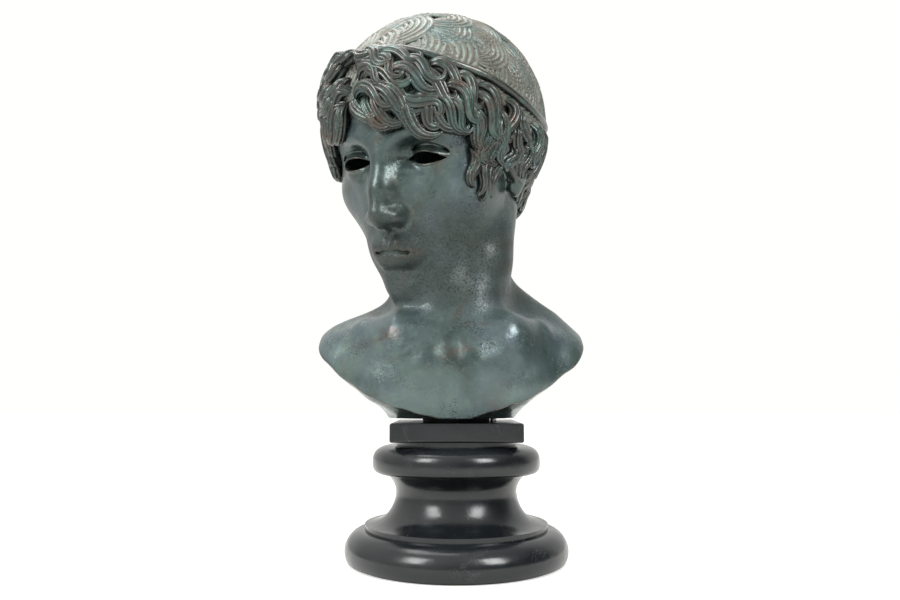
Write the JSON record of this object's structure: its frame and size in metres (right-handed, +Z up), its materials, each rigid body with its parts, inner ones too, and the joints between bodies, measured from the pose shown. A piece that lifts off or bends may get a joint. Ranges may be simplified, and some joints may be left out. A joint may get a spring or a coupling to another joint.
{
  "type": "bust on socle",
  "caption": "Bronze bust of a curly-haired youth, head bowed and turned, on a turned black marble socle with a square block.",
  "frame": {"origin": "centre of the underside of the round socle, on the surface it stands on", "axes": "+Z up, the bust's chest faces -Y, +X to the right seen from the front, the head turned towards -X"},
  "size_m": [0.2223, 0.2136, 0.4411],
  "materials": {
    "bronze": "dark green-blue patina over bronze, brown where rubbed, waxed",
    "marble": "polished black marble",
    "gasket": "matt",
    "steel": "zinc plated",
    "baize": "dark felt"
  },
  "bodies": {
    "root": {"baize_pad": "baize", "lower_torus": "marble", "scotia": "marble", "upper_torus": "marble", "square_block": "marble", "seat_gasket": "gasket", "locating_pin": "steel", "tie_rod": "steel", "bottom_washer": "steel", "bottom_nut": "steel", "top_washer": "steel", "top_nut": "steel", "jam_nut": "steel", "chest_casting": "bronze", "neck_collar": "bronze", "head_casting": "bronze"}
  },
  "joints": []
}
